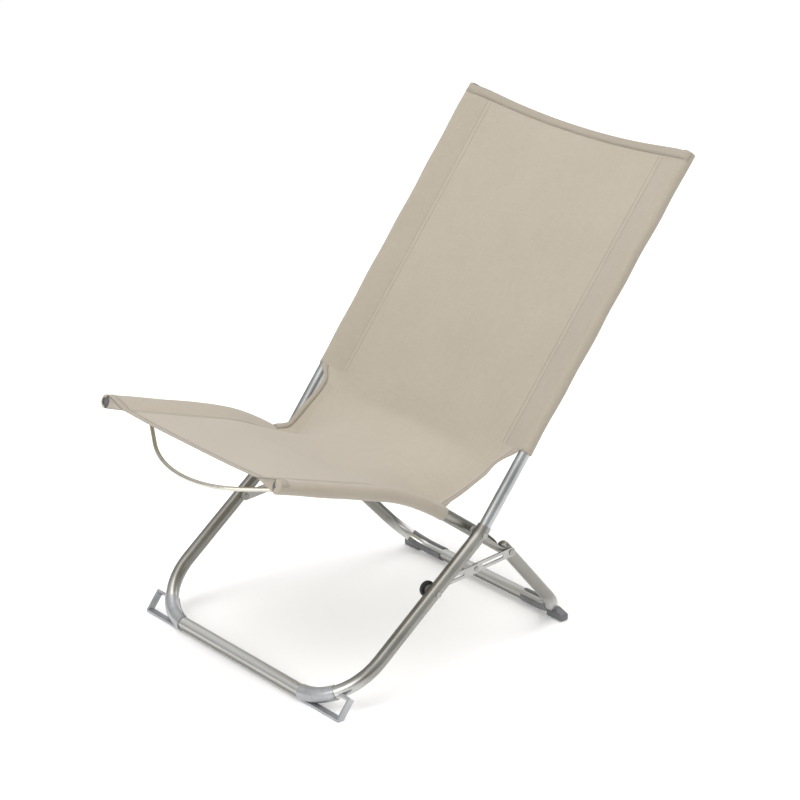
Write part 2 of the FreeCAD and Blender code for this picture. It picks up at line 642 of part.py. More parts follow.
# The origin is the middle of the footprint, on the floor.
boxes = [shape.BoundBox for shape in NODES.values()]
middle_y = (min(box.YMin for box in boxes) + max(box.YMax for box in boxes)) / 2
for node, shape in NODES.items():
    shape.translate(V(0, -middle_y, 0))
    shape.exportStep("parts/" + node + ".step")

print("origin shift", round(-middle_y, 3))
for label, point in (("pivot", PIVOT), ("stay foot", STAY_FOOT), ("stay top", STAY_TOP), ("knee", STAY_KNEE)):
    print(label, round(point.y - middle_y, 3), round(point.z, 3))
for node, shape in NODES.items():
    box = shape.BoundBox
    print(node, len(shape.Solids), shape.isValid(), round(shape.Volume), [round(v) for v in (
        box.XMin, box.XMax, box.YMin, box.YMax, box.ZMin, box.ZMax)])
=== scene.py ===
import math

import bpy
import numpy as np
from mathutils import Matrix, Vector


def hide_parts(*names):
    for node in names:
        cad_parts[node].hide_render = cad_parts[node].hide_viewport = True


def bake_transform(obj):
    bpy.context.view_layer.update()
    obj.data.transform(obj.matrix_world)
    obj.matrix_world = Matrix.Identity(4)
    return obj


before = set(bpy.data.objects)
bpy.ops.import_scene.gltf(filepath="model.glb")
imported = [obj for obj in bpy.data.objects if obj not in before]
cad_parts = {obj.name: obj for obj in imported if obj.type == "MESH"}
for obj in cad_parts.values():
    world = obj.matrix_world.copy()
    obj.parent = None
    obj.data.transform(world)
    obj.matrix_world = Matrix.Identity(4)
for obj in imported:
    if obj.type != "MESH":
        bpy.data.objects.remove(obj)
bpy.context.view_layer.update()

scene = bpy.context.scene


# ---------------------------------------------------------------- camera, light and world
camera_data = bpy.data.cameras.new("camera")
camera_data.lens = 136.0
camera_data.sensor_width = 36.0
camera = bpy.data.objects.new("camera", camera_data)
scene.collection.objects.link(camera)
TARGET = Vector((0.146, -0.1116, 0.4391))
VIEW_FROM = Vector((0.7259, -0.5864, 0.3597))
VIEW_DISTANCE = 4.6
camera.location = TARGET + VIEW_DISTANCE * VIEW_FROM
camera.rotation_euler = (TARGET - camera.location).to_track_quat("-Z", "Y").to_euler()
scene.camera = camera
scene.view_settings.view_transform = "Standard"


def area_light(name, place, aim, size, power, tint=(1.0, 1.0, 1.0)):
    data = bpy.data.lights.new(name, "AREA")
    data.shape = "RECTANGLE"
    data.size, data.size_y = size
    data.energy = power
    data.color = tint
    lamp = bpy.data.objects.new(name, data)
    scene.collection.objects.link(lamp)
    lamp.location = place
    lamp.rotation_euler = (Vector(aim) - Vector(place)).to_track_quat("-Z", "Y").to_euler()
    return lamp


area_light("softbox_top", (0.3, -0.3, 3.4), (0, 0, 0.3), (3.6, 3.6), 84)
area_light("softbox_front", (0.4, -3.4, 1.7), (0, 0, 0.4), (2.6, 1.6), 44, (1.0, 0.995, 0.98))
area_light("softbox_right", (3.4, 0.6, 1.9), (0, 0, 0.4), (0.8, 2.0), 14, (0.97, 0.985, 1.0))
area_light("softbox_back", (-0.8, 3.4, 2.2), (0, 0, 0.5), (2.6, 1.4), 26)

world = bpy.data.worlds.new("studio")
scene.world = world
world.use_nodes = True
air = world.node_tree
direction = air.nodes.new("ShaderNodeTexCoord")
height = air.nodes.new("ShaderNodeSeparateXYZ")
fade = air.nodes.new("ShaderNodeValToRGB")
fade.color_ramp.elements[0].position = 0.0
fade.color_ramp.elements[0].color = (0.20, 0.20, 0.19, 1.0)
fade.color_ramp.elements[1].position = 0.85
fade.color_ramp.elements[1].color = (1.0, 1.0, 1.0, 1.0)
air.links.new(direction.outputs["Generated"], height.inputs["Vector"])
air.links.new(height.outputs["Z"], fade.inputs["Fac"])
glow = air.nodes["Background"]
glow.inputs["Strength"].default_value = 0.95
air.links.new(fade.outputs["Color"], glow.inputs["Color"])
backdrop = air.nodes.new("ShaderNodeBackground")     # the pale wall seen past the floor's edge
backdrop.inputs["Color"].default_value = (0.86, 0.86, 0.86, 1.0)
rays = air.nodes.new("ShaderNodeLightPath")
either = air.nodes.new("ShaderNodeMixShader")
air.links.new(rays.outputs["Is Camera Ray"], either.inputs[0])
air.links.new(glow.outputs["Background"], either.inputs[1])
air.links.new(backdrop.outputs["Background"], either.inputs[2])
air.links.new(either.outputs["Shader"], air.nodes["World Output"].inputs["Surface"])


# ---------------------------------------------------------------- node helpers
class Nodes:
    """Short names for building one material."""

    def __init__(self, name):
        self.material = bpy.data.materials.new(name)
        self.material.use_nodes = True
        self.tree = self.material.node_tree
        self.shader = self.tree.nodes["Principled BSDF"]

    def add(self, kind, **values):
        node = self.tree.nodes.new(kind)
        for key, value in values.items():
            setattr(node, key, value)
        return node

    def join(self, source, target):
        self.tree.links.new(source, target)

    def put(self, **values):
        for key, value in values.items():
            self.shader.inputs[key.replace("_", " ")].default_value = value

    def math(self, operation, a, b=None, clamp=False):
        node = self.add("ShaderNodeMath", operation=operation, use_clamp=clamp)
        for socket, value in zip(node.inputs, (a, b)):
            if value is None:
                continue
            if isinstance(value, (int, float)):
                socket.default_value = value
            else:
                self.join(value, socket)
        return node.outputs[0]

    def place(self, scale=(1, 1, 1), attribute=None):
        if attribute:
            source = self.add("ShaderNodeAttribute", attribute_name=attribute).outputs["Vector"]
        else:
            source = self.add("ShaderNodeTexCoord").outputs["Object"]
        mapping = self.add("ShaderNodeMapping")
        mapping.inputs["Scale"].default_value = scale
        self.join(source, mapping.inputs["Vector"])
        return mapping.outputs["Vector"]

    def noise(self, vector, scale, detail=3.0, roughness=0.55):
        node = self.add("ShaderNodeTexNoise")
        node.inputs["Scale"].default_value = scale
        node.inputs["Detail"].default_value = detail
        node.inputs["Roughness"].default_value = roughness
        self.join(vector, node.inputs["Vector"])
        return node.outputs["Fac"]

    def ramp(self, value, stops):
        node = self.add("ShaderNodeValToRGB")
        while len(node.color_ramp.elements) < len(stops):
            node.color_ramp.elements.new(0.5)
        for element, (position, colour) in zip(node.color_ramp.elements, stops):
            element.position = position
            element.color = (*colour, 1.0)
        self.join(value, node.inputs["Fac"])
        return node.outputs["Color"]

    def mix(self, factor, a, b, blend="MIX"):
        node = self.add("ShaderNodeMix", data_type="RGBA", blend_type=blend)
        for socket, value in ((node.inputs[0], factor), (node.inputs[6], a), (node.inputs[7], b)):
            if isinstance(value, (int, float)):
                socket.default_value = value
            elif isinstance(value, tuple):
                socket.default_value = (*value, 1.0)
            else:
                self.join(value, socket)
        return node.outputs[2]

    def bump(self, height, strength, distance, under=None):
        node = self.add("ShaderNodeBump")
        node.inputs["Strength"].default_value = strength
        node.inputs["Distance"].default_value = distance
        self.join(height, node.inputs["Height"])
        if under is not None:
            self.join(under, node.inputs["Normal"])
        self.join(node.outputs["Normal"], self.shader.inputs["Normal"])
        return node.outputs["Normal"]


def span(nodes, value, low, high):
    """A value from 0 to 1, moved to run from low to high."""
    node = nodes.add("ShaderNodeMapRange")
    node.inputs["To Min"].default_value = low
    node.inputs["To Max"].default_value = high
    nodes.join(value, node.inputs["Value"])
    return node.outputs["Result"]


# ---------------------------------------------------------------- materials
WEAVE_PITCH = 0.0016         # metres, as are all lengths below
PUCKER_PITCH = 0.013         # ripples along a seam
PUCKER_REACH = 0.010         # how far from the seam they die out
PAINTED_HIGHLIGHT_HEIGHT = 0.060           # tube below this is painted bright, a painted highlight
PAINTED_HIGHLIGHT_FADE = 0.035
PAINTED_SHADE_HEIGHT = 0.0165        # and below this it is painted dark, a painted shade
PAINTED_SHADE_FADE = 0.006


def woven(name, light, dark):
    """Plain weave in the cloth's own flat metres, with slubs and faint soiling."""
    n = Nodes(name)
    flat = n.add("ShaderNodeAttribute", attribute_name="cloth")
    split = n.add("ShaderNodeSeparateXYZ")
    n.join(flat.outputs["Vector"], split.inputs["Vector"])
    turn = 2 * math.pi / WEAVE_PITCH
    across = n.math("SINE", n.math("MULTIPLY", split.outputs["X"], turn))
    along = n.math("SINE", n.math("MULTIPLY", split.outputs["Y"], turn))
    weave = n.math("ADD", n.math("MULTIPLY", n.math("MULTIPLY", across, along), 0.5), 0.5)
    warp_slub = n.noise(n.place((900, 40, 1), "cloth"), 1.0, 2.0)
    weft_slub = n.noise(n.place((40, 900, 1), "cloth"), 1.0, 2.0)
    slub = n.math("MULTIPLY", n.math("ADD", warp_slub, weft_slub), 0.5)
    cloudy = n.noise(n.place(), 9.0, 4.0)
    tone = n.math("ADD", n.math("MULTIPLY", slub, 0.75), n.math("MULTIPLY", cloudy, 0.25))
    colour = n.ramp(tone, [(0.30, dark), (0.68, light)])
    # Painted shade: the gaps between the yarns are darkened.
    gaps = span(n, weave, 0.88, 1.0)
    n.join(n.mix(1.0, colour, gaps, "MULTIPLY"), n.shader.inputs["Base Color"])
    n.join(span(n, slub, 0.78, 0.96), n.shader.inputs["Roughness"])
    n.put(Sheen_Weight=0.25, Sheen_Roughness=0.5, Specular_IOR_Level=0.25)
    height = n.math("ADD", n.math("MULTIPLY", weave, 0.6), n.math("MULTIPLY", slub, 0.8))
    fine = n.bump(height, 0.45, 0.0005)
    near_seam = n.math("SUBTRACT", 1.0, n.math("DIVIDE", split.outputs["Z"], PUCKER_REACH), clamp=True)
    drift = n.math("MULTIPLY", n.noise(n.place((45, 45, 1), "cloth"), 1.0, 2.0), 16.0)
    walk = n.math("MULTIPLY", split.outputs["Y"], 2 * math.pi / PUCKER_PITCH)
    ripple = n.math("MULTIPLY", n.math("SINE", n.math("ADD", walk, drift)), near_seam)
    n.bump(ripple, 0.22, 0.0005, fine)
    return n.material


def metal(name, light, dark, rough, painted_highlight=None):
    """Satin tube: fine drawn grain, uneven polish and a few dull patches.

    Where a highlight colour is given, the tube near the floor is painted bright, a painted highlight, and
    painted dark underneath, a painted shade.
    """
    n = Nodes(name)
    here = n.place()
    patch = n.noise(here, 14.0, 4.0)
    speck = n.noise(here, 900.0, 2.0)
    tone = n.math("ADD", n.math("MULTIPLY", patch, 0.8), n.math("MULTIPLY", speck, 0.2))
    colour = n.ramp(tone, [(0.35, dark), (0.65, light)])
    if painted_highlight:
        split = n.add("ShaderNodeSeparateXYZ")
        n.join(here, split.inputs["Vector"])
        # Painted highlight: near the floor the tube takes the bright colour.
        depth = n.math("SUBTRACT", PAINTED_HIGHLIGHT_HEIGHT, split.outputs["Z"])
        colour = n.mix(n.math("DIVIDE", depth, PAINTED_HIGHLIGHT_FADE, clamp=True), colour, painted_highlight)
        # Painted shade: lower still, on the bar's underside, it takes the dark colour.
        depth = n.math("SUBTRACT", PAINTED_SHADE_HEIGHT, split.outputs["Z"])
        painted_shade_below = n.math("DIVIDE", depth, PAINTED_SHADE_FADE, clamp=True)
        colour = n.mix(painted_shade_below, colour, dark)
    n.join(colour, n.shader.inputs["Base Color"])
    n.join(span(n, tone, rough - 0.07, rough + 0.1), n.shader.inputs["Roughness"])
    n.put(Metallic=1.0)
    n.bump(speck, 0.10, 0.0002)
    return n.material


def moulded(name, light, dark, rough, coat=0.0, metallic=0.0, grain=0.22):
    """Moulded plastic: fine spark-erosion grain with scuff patches."""
    n = Nodes(name)
    here = n.place()
    scuff = n.noise(here, 45.0, 5.0, 0.65)
    sparks = n.noise(here, 1400.0, 2.0)
    n.join(n.ramp(scuff, [(0.36, dark), (0.66, light)]), n.shader.inputs["Base Color"])
    n.join(span(n, scuff, rough - 0.08, rough + 0.14), n.shader.inputs["Roughness"])
    n.put(Coat_Weight=coat, Coat_Roughness=0.2, Specular_IOR_Level=0.45, Metallic=metallic)
    n.bump(sparks, grain, 0.0003)
    return n.material


CLOTH = woven("sling_canvas", (0.408, 0.363, 0.296), (0.346, 0.305, 0.245))
# The sleeves take a darker copy of the canvas: painted shade on the sleeve bands.
SLEEVE = woven("sling_canvas_sleeve_painted_shade", (0.386, 0.342, 0.278), (0.329, 0.289, 0.232))
# The hems take a darker copy of the canvas: painted shade of the fold.
HEM = woven("sling_hem_painted_shade", (0.352, 0.313, 0.256), (0.300, 0.266, 0.215))
THREAD = moulded("sewing_thread", (0.300, 0.270, 0.222), (0.245, 0.218, 0.178), 0.7)
# The leg metal carries a painted highlight near the floor and painted shade under the floor bars.
LEG = metal("leg_tube", (0.290, 0.283, 0.258), (0.236, 0.230, 0.210), 0.31, painted_highlight=(0.66, 0.66, 0.64))
# The back tubes take a lighter, bluish copy of the leg metal: a painted reflection.
UPPER_PAINTED_REFLECTION = metal("upper_tube_painted_reflection", (0.446, 0.456, 0.456), (0.362, 0.372, 0.374), 0.30)
STAY = metal("stay_strip", (0.450, 0.445, 0.430), (0.36, 0.355, 0.342), 0.38)
ROD = metal("bow_rod", (0.640, 0.615, 0.540), (0.52, 0.50, 0.44), 0.27)
RIVET = metal("rivet_head", (0.330, 0.325, 0.305), (0.250, 0.245, 0.230), 0.30)
CAP = moulded("cap_plastic", (0.110, 0.112, 0.116), (0.070, 0.072, 0.076), 0.42)
KNOB = moulded("knob_plastic", (0.030, 0.030, 0.030), (0.016, 0.016, 0.016), 0.40)
SPACER = moulded("spacer_plastic", (0.230, 0.226, 0.214), (0.170, 0.166, 0.156), 0.45)
FOOT = moulded("foot_plastic", (0.440, 0.448, 0.462), (0.330, 0.338, 0.352), 0.29, 0.4, 0.6, 0.05)
REAR_FOOT = moulded("rear_foot_plastic", (0.150, 0.153, 0.160), (0.100, 0.103, 0.109), 0.40, 0.15)

FINISH = {
    LEG: ["front_leg_frame", "rear_leg_frame", "seat_tube_left", "seat_tube_right"],
    UPPER_PAINTED_REFLECTION: ["back_tube_left", "back_tube_right"],
    ROD: ["back_spreader_bow", "front_spreader_bow"],
    STAY: ["stay_lower_left", "stay_lower_right", "stay_upper_left", "stay_upper_right"],
    RIVET: ["main_pivot_pins", "stay_foot_pin_left", "stay_foot_pin_right", "stay_top_pins",
            "stay_knee_rivet_left", "stay_knee_rivet_right"],
    CAP: ["back_tube_cap_left", "back_tube_cap_right", "seat_tube_cap_left", "seat_tube_cap_right"],
    KNOB: ["stay_foot_knob"],
    SPACER: ["main_pivot_washers", "stay_foot_spacers"],
    FOOT: ["front_foot_left", "front_foot_right"],
    REAR_FOOT: ["rear_foot_left", "rear_foot_right"],
}
EDGES = {STAY: 0.0005, FOOT: 0.0009, REAR_FOOT: 0.0012}
for material, names in FINISH.items():
    for name in names:
        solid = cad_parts[name]
        for socket in solid.material_slots:
            socket.material = material
        if material in EDGES:
            soften = solid.modifiers.new("soft_edges", "BEVEL")
            soften.width = EDGES[material]
            soften.segments = 2
            soften.limit_method = "ANGLE"
            soften.angle_limit = math.radians(40)
            soften.use_clamp_overlap = True
            soften.harden_normals = True

# ---------------------------------------------------------------- floor
floor_nodes = Nodes("pale_floor")
floor_tone = floor_nodes.noise(floor_nodes.place(), 2.0, 3.0)
floor_nodes.join(floor_nodes.ramp(floor_tone, [(0.3, (0.90, 0.90, 0.90)), (0.7, (0.92, 0.92, 0.92))]),
                 floor_nodes.shader.inputs["Base Color"])
floor_nodes.put(Roughness=0.75, Specular_IOR_Level=0.1, Emission_Color=(1.0, 1.0, 1.0, 1.0),
                Emission_Strength=0.16)
floor_mesh = bpy.data.meshes.new("floor")
FAR = 60
floor_mesh.from_pydata([(-FAR, -FAR, 0), (FAR, -FAR, 0), (FAR, FAR, 0), (-FAR, FAR, 0)], [], [(0, 1, 2, 3)])
floor_mesh.materials.append(floor_nodes.material)
floor = bpy.data.objects.new("floor", floor_mesh)
scene.collection.objects.link(floor)
floor.location.z = -0.0008                   # just under the feet


# ---------------------------------------------------------------- the sling's lines, in metres
def heading(degrees):
    angle = math.radians(degrees)
    return np.array([math.cos(angle), math.sin(angle)])


PIVOT = np.array([-0.036924, 0.231865])      # y, z
B = heading(52.2)                            # up the back
BN = heading(142.2)                          # out of the back, towards the sitter
TAIL_ANGLE = 143.4                           # seat tube, where it passes the pivot
TAIL = heading(TAIL_ANGLE)
CORNER_RUN = 0.1406                          # from the pivot to where the seat tube's two straights cross
SEAT_TIP = PIVOT + 0.399 * heading(155.7)
SEAT_CORNER = PIVOT + CORNER_RUN * TAIL
SEAT_BEND = 0.440
TIP_RUN = float(np.linalg.norm(SEAT_TIP - SEAT_CORNER))
SEAT_TURN = math.acos(float(TAIL @ (SEAT_TIP - SEAT_CORNER)) / TIP_RUN)
BEND_START = CORNER_RUN - SEAT_BEND * math.tan(SEAT_TURN / 2)
BEND_END = BEND_START + SEAT_BEND * SEAT_TURN

BACK_SPACING = 0.250                         # back tube from the middle, at the pivot
BACK_SPLAY = 0.005 / 0.672                   # and how much further out per metre of tube
SEAT_SPACING = 0.222
BACK_END = 0.142                             # lower end of the back sleeves
BACK_TOP = 0.664                             # top hem, in the middle
SEAT_END = 0.065                             # rear end of the seat sleeves
HEM_RISE = (0.0095, 0.011)                   # the top and front hems run on by this beside the tubes
BACK_TUBE = 0.0094
SEAT_TUBE = 0.0100
EASE = 0.0006                                # tube to the middle of the cloth
CLOTH_THICK = 0.0009
SEAM = 0.045                                 # seam, inwards of the tube's centre
TOP_SAG = 0.010
SEAT_SAG = 0.006
HEM_PULL = {1: 0.007, -1: 0.022}             # free hems curve inwards between the sleeves
HEM_TUCK = {1: 0.009, -1: 0.002}             # a fold just below the back sleeve
HEM_DROP = 0.007                             # and hang below the straight line between them
HEM_INSET = 0.0022                           # free hems end this far inside the tubes' middles
HEM_WAVE = 0.0022                            # and wave up and down by this
HEM_WAVES = 1.3
PULL_IN, PULL_OUT = 0.16, 0.14               # shares of the hem over which its inward pull grows and fades
TUCK_AT, TUCK_WIDTH, TUCK_IN = 0.24, 0.13, 0.10
HEM_DEEP = 0.013
HEM_RUN = 0.13                               # the hems' curve starts this far from the tube ends
HEM_FALL = heading(97.8)                     # across the cut-out, away from the floor
LEAST_SAG = 0.003
SAG_RUN = 0.2                                # the seat's sag grows over this length
TURN_PULLS = (0.045, 0.026)                  # how far the turn keeps the back's and the seat's direction
CROTCH_ON_BACK = 0.120
CROTCH_ON_SEAT = 0.190


def back_tube_x(s):
    return BACK_SPACING + BACK_SPLAY * s


def right_of(vector):
    return np.array([vector[1], -vector[0]])


def seat_at(run):
    """Point, forward direction and upward normal on the seat tube's line, from the pivot."""
    if run < BEND_START:
        return PIVOT + run * TAIL, TAIL, right_of(TAIL)
    turned = min((run - BEND_START) / SEAT_BEND, SEAT_TURN)
    forward = heading(TAIL_ANGLE + math.degrees(turned))
    normal = right_of(forward)
    centre = PIVOT + BEND_START * TAIL - SEAT_BEND * right_of(TAIL)
    return centre + SEAT_BEND * normal + max(run - BEND_END, 0.0) * forward, forward, normal


TUBE_END = BEND_END + TIP_RUN - (CORNER_RUN - BEND_START)
SEAT_FRONT = TUBE_END - 0.008                # front hem, in the middle


def lay_out(points):
    """Length of a polyline, and a function giving the point at a share of it."""
    points = np.array(points)
    steps = np.linalg.norm(np.diff(points, axis=0), axis=1)
    along = np.concatenate([[0], np.cumsum(steps)])

    def at(share):
        want = float(share) * along[-1]
        return np.array([np.interp(want, along, points[:, k]) for k in range(points.shape[1])])

    return float(along[-1]), at


def smooth(value):
    value = min(max(value, 0.0), 1.0)
    return value * value * (3 - 2 * value)


def middle_line():
    """Points down the sling's middle, from the top of the back to the front of the seat."""
    points = []
    for s in np.linspace(BACK_TOP, CROTCH_ON_BACK, 90):
        up = (s - CROTCH_ON_BACK) / (BACK_TOP - CROTCH_ON_BACK)
        sag = (LEAST_SAG + (TOP_SAG - LEAST_SAG) * up ** 1.5) * smooth(4 * up)
        points.append(PIVOT + s * B - sag * BN)
    start = PIVOT + CROTCH_ON_BACK * B
    end, forward, _ = seat_at(CROTCH_ON_SEAT)
    across = np.linalg.solve(np.array([B, -forward]).T, end - PIVOT)
    control = PIVOT + across[0] * B
    for t in np.linspace(0, 1, 60)[1:-1]:
        shares = np.array([(1 - t) ** 2, t * (1 - t), t ** 2])
        points.append((shares[0] * start + shares[1] * control + shares[2] * end) / shares.sum())
    for run in np.linspace(CROTCH_ON_SEAT, SEAT_FRONT, 50):
        point, _, normal = seat_at(run)
        sag = SEAT_SAG * smooth((run - CROTCH_ON_SEAT) / SAG_RUN)
        points.append(point - sag * normal)
    return points


def bezier(a, b, c, d, count):
    t = np.linspace(0, 1, count)[:, None]
    return (1 - t) ** 3 * a + 3 * t * (1 - t) ** 2 * b + 3 * t ** 2 * (1 - t) * c + t ** 3 * d


back_foot = PIVOT + BACK_END * B
seat_foot, seat_foot_dir, seat_foot_normal = seat_at(SEAT_END)
TURN, turn_at = lay_out(bezier(back_foot, back_foot - TURN_PULLS[0] * B,
                               seat_foot - TURN_PULLS[1] * seat_foot_dir, seat_foot, 60))
LENGTH = (BACK_TOP - BACK_END) + TURN + (SEAT_FRONT - SEAT_END)
_, middle_at = lay_out(middle_line())


def steps_between(first, last, step=0.0065):
    return np.linspace(first, last, int(round((last - first) / step)) + 1)


EDGE_ROWS = [0.0, 0.0012, 0.0035, 0.007, 0.0098, HEM_DEEP]    # closer rows in the hems
run_rows = np.concatenate([
    EDGE_ROWS,
    steps_between(HEM_DEEP, BACK_TOP - BACK_END)[1:],
    steps_between(BACK_TOP - BACK_END, BACK_TOP - BACK_END + TURN)[1:],
    steps_between(BACK_TOP - BACK_END + TURN, LENGTH - HEM_DEEP)[1:],
    [LENGTH - back for back in EDGE_ROWS[-2::-1]],
])
ROWS = len(run_rows)
# last row of the back sleeves, and first row of the seat sleeves
SLEEVE_A = int(np.argmin(abs(run_rows - (BACK_TOP - BACK_END))))
SLEEVE_B = int(np.argmin(abs(run_rows - (BACK_TOP - BACK_END + TURN))))
HALF = 26                                    # columns from the middle to the seam
BAND = 6                                     # from the seam to the tube, above it and again below
WRAP = 12                                    # round the tube


def rise(k):
    """How much further out than the middle a row lies at the tubes, at the top and at the front."""
    gaps = (run_rows[k], LENGTH - run_rows[k])
    return [most * max(0.0, 1 - gap / HEM_RUN) ** 2 for most, gap in zip(HEM_RISE, gaps)]


def row_frame(k, share=1.0):
    """Seam line at one row: its place, the cloth's outward normal and its x."""
    top, front = rise(k)
    if k <= SLEEVE_A:
        s = BACK_TOP - run_rows[k] + top * share
        return PIVOT + s * B, BN, back_tube_x(s) - SEAM
    if k >= SLEEVE_B:
        point, _, normal = seat_at(SEAT_END + run_rows[k] - run_rows[SLEEVE_B] + front * share)
        return point, normal, SEAT_SPACING - SEAM
    t = (run_rows[k] - run_rows[SLEEVE_A]) / TURN
    ahead, behind = turn_at(min(t + 0.01, 1)), turn_at(max(t - 0.01, 0))
    along = (ahead - behind) / np.linalg.norm(ahead - behind)
    x = (back_tube_x(BACK_END) - SEAM) * (1 - smooth(t)) + (SEAT_SPACING - SEAM) * smooth(t)
    return turn_at(t), right_of(along), x


BAND_SLACK = 0.0005                          # a sleeve's band stands off the straight line by this
WOBBLE = 0.0003                              # unevenness of the band
LOOSE, LOOSER = 0.0006, 0.0004               # play of the sleeve round its tube


def wobble(s, phase):
    """Slow unevenness of sewn cloth, from three waves that don't repeat together."""
    return WOBBLE * (math.sin(37 * s + phase) + 0.6 * math.sin(83 * s + 2.1 * phase + 1.0)
                     + 0.4 * math.sin(171 * s + 0.7 * phase))


def teardrop(radius, k, side):
    """Section of a sleeve from the seam round the tube and back: inward distance and height."""
    r = radius + EASE
    lean = math.acos(r / SEAM)
    touch = np.array([r * math.cos(lean), r * math.sin(lean)])
    seam = np.array([SEAM, 0.0])
    slack = BAND_SLACK + wobble(run_rows[k], 3.0 * side)
    points = []
    for j in range(1, BAND + 1):
        t = j / BAND
        points.append(seam * (1 - t) + touch * t + np.array([0.0, slack * 4 * t * (1 - t)]))
    for j in range(1, WRAP + 1):
        angle = lean + (2 * math.pi - 2 * lean) * j / WRAP
        loose = LOOSE * (1 + math.sin(61 * run_rows[k] + side)) + LOOSER * (1 + math.sin(23 * run_rows[k]))
        bulge = r + loose * math.sin(math.pi * j / WRAP)
        points.append(np.array([bulge * math.cos(angle), bulge * math.sin(angle)]))
    under = np.array([SEAM, -1.15 * CLOTH_THICK])
    last = points[-1]
    for j in range(1, BAND + 1):
        t = j / BAND
        points.append(last * (1 - t) + under * t)
    return points


hem_a = back_foot + (BACK_TUBE + EASE) * BN
hem_b = seat_foot + (SEAT_TUBE + EASE) * seat_foot_normal


def panel_row(k):
    """Points from the middle of the sling out to the seam."""
    middle = middle_at(run_rows[k] / LENGTH)
    level = row_frame(k, 0.0)[0]
    points = []
    for j in range(HALF + 1):
        f = j / HALF
        seam, _, x_seam = row_frame(k, f ** 2)
        share = f ** 2.4
        spot = middle * (1 - share) + level * share + (seam - level)
        points.append(np.array([x_seam * f, spot[0], spot[1]]))
    return points


def side_row(k, side):
    """Points beyond the seam: the band and, beside a tube, the rest of the sleeve."""
    seam, normal, x_seam = row_frame(k)
    if SLEEVE_A < k < SLEEVE_B:
        t = (run_rows[k] - run_rows[SLEEVE_A]) / TURN
        hem = hem_a * (1 - t) + hem_b * t
        arch = 4 * t * (1 - t)
        wave = math.sin(2 * math.pi * HEM_WAVES * t + 0.5 * side) * arch
        hem = hem - (HEM_DROP * arch + HEM_WAVE * wave) * HEM_FALL
        pulled = HEM_PULL[side] * smooth(t / PULL_IN) * smooth((1 - t) / PULL_OUT)
        tuck = HEM_TUCK[side] * math.exp(-((t - TUCK_AT) / TUCK_WIDTH) ** 2) * smooth(t / TUCK_IN)
        straight = back_tube_x(BACK_END) * (1 - t) + SEAT_SPACING * t - HEM_INSET
        start = np.array([x_seam, *seam])
        end = np.array([straight - pulled - tuck, *hem])
        return [start * (1 - j / BAND) + end * j / BAND for j in range(1, BAND + 1)]
    tube = BACK_TUBE if k <= SLEEVE_A else SEAT_TUBE
    centre = x_seam + SEAM
    return [np.array([centre - inward, *(seam + height * normal)])
            for inward, height in teardrop(tube, k, side)]


# ---------------------------------------------------------------- the sling's mesh
verts, flat, faces, doubled = [], [], [], []
grid = {}


def put(key, point, u, v, seam_gap):
    grid[key] = len(verts)
    verts.append(tuple(float(value) for value in point))
    flat.append((u, v, seam_gap))


for k in range(ROWS):
    half = panel_row(k)
    v = float(run_rows[k])
    from_hem = min(abs(v - HEM_DEEP), abs(LENGTH - HEM_DEEP - v))
    x_seam = float(half[-1][0])
    for side in (-1, 1):
        for j, point in enumerate(half):
            if side > 0 or j > 0:
                gap = x_seam - float(point[0]) if not SLEEVE_A < k < SLEEVE_B else 1.0
                put((k, side * j), (side * point[0], point[1], point[2]), side * float(point[0]), v,
                    min(from_hem, gap))
        reach, before = x_seam, half[-1]
        for j, point in enumerate(side_row(k, side), 1):
            reach += float(np.linalg.norm(point - before))
            before = point
            gap = reach - x_seam if not SLEEVE_A < k < SLEEVE_B else 1.0
            put((k, side * (HALF + j)), (side * point[0], point[1], point[2]), side * reach, v,
                min(from_hem, gap))
LAST = HALF + 2 * BAND + WRAP


def quads(k, first, last, is_doubled):
    """Faces between two rows, where both rows have the columns."""
    for column in range(first, last):
        corners = [(k, column), (k + 1, column), (k + 1, column + 1), (k, column + 1)]
        if all(corner in grid for corner in corners):
            faces.append([grid[corner] for corner in corners])
            doubled.append(is_doubled)


for k in range(ROWS - 1):
    sleeved = not SLEEVE_A <= k < SLEEVE_B
    quads(k, -LAST, -HALF, sleeved)
    quads(k, -HALF, HALF, False)
    quads(k, HALF, LAST, sleeved)

